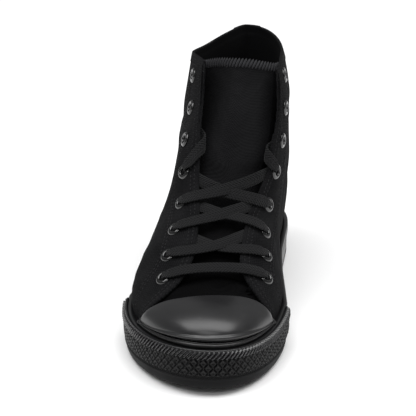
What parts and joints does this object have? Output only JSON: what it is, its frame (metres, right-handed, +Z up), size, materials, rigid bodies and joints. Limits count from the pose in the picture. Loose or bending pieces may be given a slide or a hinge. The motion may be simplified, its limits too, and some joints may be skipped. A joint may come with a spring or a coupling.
{
  "type": "high top sneaker",
  "caption": "Right high top canvas sneaker with rubber toe cap, textured toe bumper, sidewall, flat laces and metal eyelets, open at the collar.",
  "frame": {"origin": "centre of the bounding box on the floor plane, on the underside of the sole", "axes": "+Z up, toe towards -Y, heel towards +Y, outer (lateral) side towards -X, inner (medial) side towards +X"},
  "size_m": [0.108, 0.292, 0.171],
  "materials": {
    "canvas": "matte black woven cotton canvas",
    "tongue_canvas": "matte black woven cotton canvas, lighter weave",
    "insole_cloth": "black cloth over foam",
    "sole_rubber": "black moulded rubber, satin",
    "bumper_rubber": "black moulded rubber, knurled and ribbed",
    "cap_rubber": "smooth black rubber, satin sheen",
    "eyelet_enamel": "gloss black enamelled metal",
    "lace": "black flat woven cotton lace"
  },
  "bodies": {
    "root": {"outsole": "sole_rubber", "upper": "canvas", "tongue": "tongue_canvas", "insole": "insole_cloth", "sidewall": "sole_rubber", "toe_bumper": "bumper_rubber", "toe_guard": "cap_rubber", "toe_cap": "cap_rubber", "eyelet_lateral_1": "eyelet_enamel", "eyelet_medial_1": "eyelet_enamel", "eyelet_lateral_2": "eyelet_enamel", "eyelet_medial_2": "eyelet_enamel", "eyelet_lateral_3": "eyelet_enamel", "eyelet_medial_3": "eyelet_enamel", "eyelet_lateral_4": "eyelet_enamel", "eyelet_medial_4": "eyelet_enamel", "eyelet_lateral_5": "eyelet_enamel", "eyelet_medial_5": "eyelet_enamel", "eyelet_lateral_6": "eyelet_enamel", "eyelet_medial_6": "eyelet_enamel", "eyelet_lateral_7": "eyelet_enamel", "eyelet_medial_7": "eyelet_enamel", "eyelet_lateral_8": "eyelet_enamel", "eyelet_medial_8": "eyelet_enamel", "lace_bar": "lace", "lace_cross_1": "lace", "lace_cross_2": "lace", "lace_cross_3": "lace", "lace_end_lateral": "lace", "lace_end_medial": "lace"}
  },
  "joints": []
}
